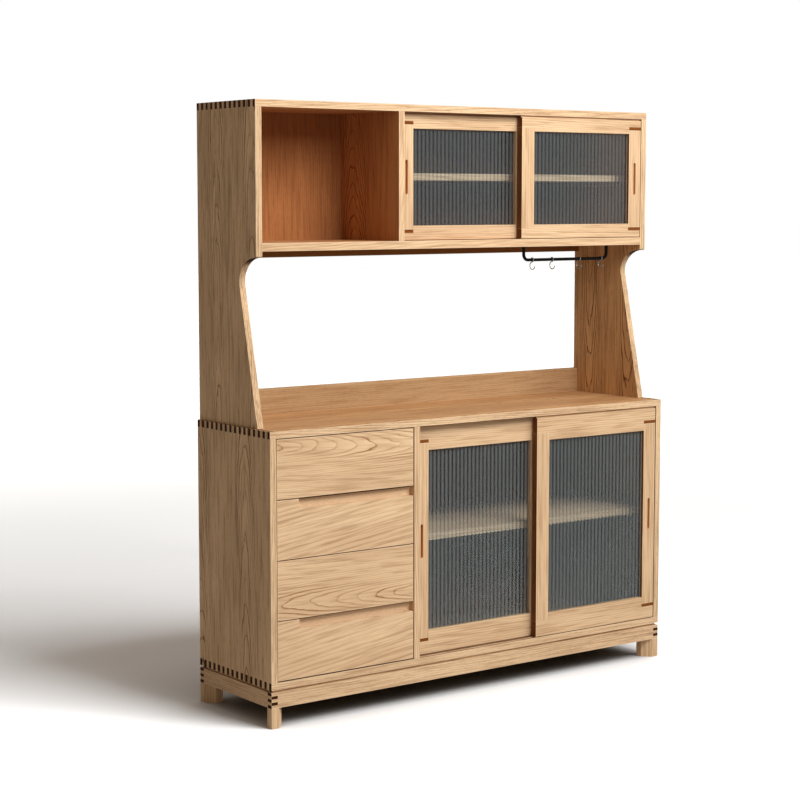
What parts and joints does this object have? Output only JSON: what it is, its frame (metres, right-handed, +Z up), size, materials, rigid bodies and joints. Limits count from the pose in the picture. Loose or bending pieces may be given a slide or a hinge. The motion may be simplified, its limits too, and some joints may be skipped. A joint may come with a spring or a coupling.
{
  "type": "kitchen cupboard",
  "caption": "Oak sideboard with drawers, sliding reeded-glass doors and a hutch with an open niche, a sliding-door cupboard and a mug rail with hooks.",
  "frame": {"origin": "on the floor, under the middle of the cupboard's width and depth", "axes": "+X to the right seen from the front, +Y to the back, +Z up"},
  "size_m": [1.53, 0.4, 1.8],
  "materials": {
    "oak": "oiled satin",
    "oak_panel": "oiled satin",
    "drawer_wood": "sanded",
    "walnut": "oiled satin",
    "reeded_glass": "grey reeded",
    "black_metal": "satin black",
    "hook_steel": "satin steel wire"
  },
  "bodies": {
    "cabinet": {"foot_front_left": "oak", "foot_front_right": "oak", "foot_back_left": "oak", "foot_back_right": "oak", "plinth_rail_front": "oak", "plinth_rail_back": "oak", "plinth_rail_left": "oak", "plinth_rail_right": "oak", "base_side_left": "oak", "base_side_right": "oak", "base_top": "oak", "base_bottom": "oak", "base_divider": "oak", "base_shelf": "oak", "hutch_side_left": "oak", "hutch_side_right": "oak", "hutch_top": "oak", "hutch_floor": "oak", "hutch_divider": "oak", "hutch_shelf": "oak", "hutch_rear_rail": "oak", "counter_back_rail": "oak", "shelf_cleats": "oak", "base_back_panel": "oak_panel", "hutch_back_panel": "oak_panel", "drawer_runners": "drawer_wood", "mug_rail": "black_metal"},
    "drawer_1": {"drawer_1_front": "oak", "drawer_1_box": "drawer_wood", "drawer_1_bottom": "drawer_wood"},
    "drawer_2": {"drawer_2_front": "oak", "drawer_2_box": "drawer_wood", "drawer_2_bottom": "drawer_wood"},
    "drawer_3": {"drawer_3_front": "oak", "drawer_3_box": "drawer_wood", "drawer_3_bottom": "drawer_wood"},
    "drawer_4": {"drawer_4_front": "oak", "drawer_4_box": "drawer_wood", "drawer_4_bottom": "drawer_wood"},
    "lower_left_door": {"lower_left_door_stiles": "oak", "lower_left_door_rails": "oak", "lower_left_door_glass": "reeded_glass", "lower_left_door_keys": "walnut"},
    "lower_right_door": {"lower_right_door_stiles": "oak", "lower_right_door_rails": "oak", "lower_right_door_glass": "reeded_glass", "lower_right_door_keys": "walnut"},
    "upper_left_door": {"upper_left_door_stiles": "oak", "upper_left_door_rails": "oak", "upper_left_door_glass": "reeded_glass", "upper_left_door_keys": "walnut"},
    "upper_right_door": {"upper_right_door_stiles": "oak", "upper_right_door_rails": "oak", "upper_right_door_glass": "reeded_glass", "upper_right_door_keys": "walnut"},
    "hook_1": {"mug_hook_1": "hook_steel"},
    "hook_2": {"mug_hook_2": "hook_steel"},
    "hook_3": {"mug_hook_3": "hook_steel"},
    "hook_4": {"mug_hook_4": "hook_steel"}
  },
  "joints": [
    {"name": "drawer_1_slide", "type": "slide", "parent": "cabinet", "child": "drawer_1", "axis": [0, -1, 0], "range_m": [0, 0.26]},
    {"name": "drawer_2_slide", "type": "slide", "parent": "cabinet", "child": "drawer_2", "axis": [0, -1, 0], "range_m": [0, 0.26]},
    {"name": "drawer_3_slide", "type": "slide", "parent": "cabinet", "child": "drawer_3", "axis": [0, -1, 0], "range_m": [0, 0.26]},
    {"name": "drawer_4_slide", "type": "slide", "parent": "cabinet", "child": "drawer_4", "axis": [0, -1, 0], "range_m": [0, 0.26]},
    {"name": "lower_left_door_slide", "type": "slide", "parent": "cabinet", "child": "lower_left_door", "axis": [1, 0, 0], "range_m": [0, 0.4595]},
    {"name": "lower_right_door_slide", "type": "slide", "parent": "cabinet", "child": "lower_right_door", "axis": [-1, 0, 0], "range_m": [0, 0.4595]},
    {"name": "upper_left_door_slide", "type": "slide", "parent": "cabinet", "child": "upper_left_door", "axis": [1, 0, 0], "range_m": [0, 0.4555]},
    {"name": "upper_right_door_slide", "type": "slide", "parent": "cabinet", "child": "upper_right_door", "axis": [-1, 0, 0], "range_m": [0, 0.4555]},
    {"name": "hook_1_swing", "type": "hinge", "parent": "cabinet", "child": "hook_1", "pos_m": [0.33796, -0.042, 1.325], "axis": [1, 0, 0], "range_deg": [-70, 70]},
    {"name": "hook_2_swing", "type": "hinge", "parent": "cabinet", "child": "hook_2", "pos_m": [0.42212, -0.042, 1.325], "axis": [1, 0, 0], "range_deg": [-70, 70]},
    {"name": "hook_3_swing", "type": "hinge", "parent": "cabinet", "child": "hook_3", "pos_m": [0.53892, -0.042, 1.325], "axis": [1, 0, 0], "range_deg": [-70, 70]},
    {"name": "hook_4_swing", "type": "hinge", "parent": "cabinet", "child": "hook_4", "pos_m": [0.63396, -0.042, 1.325], "axis": [1, 0, 0], "range_deg": [-70, 70]}
  ]
}
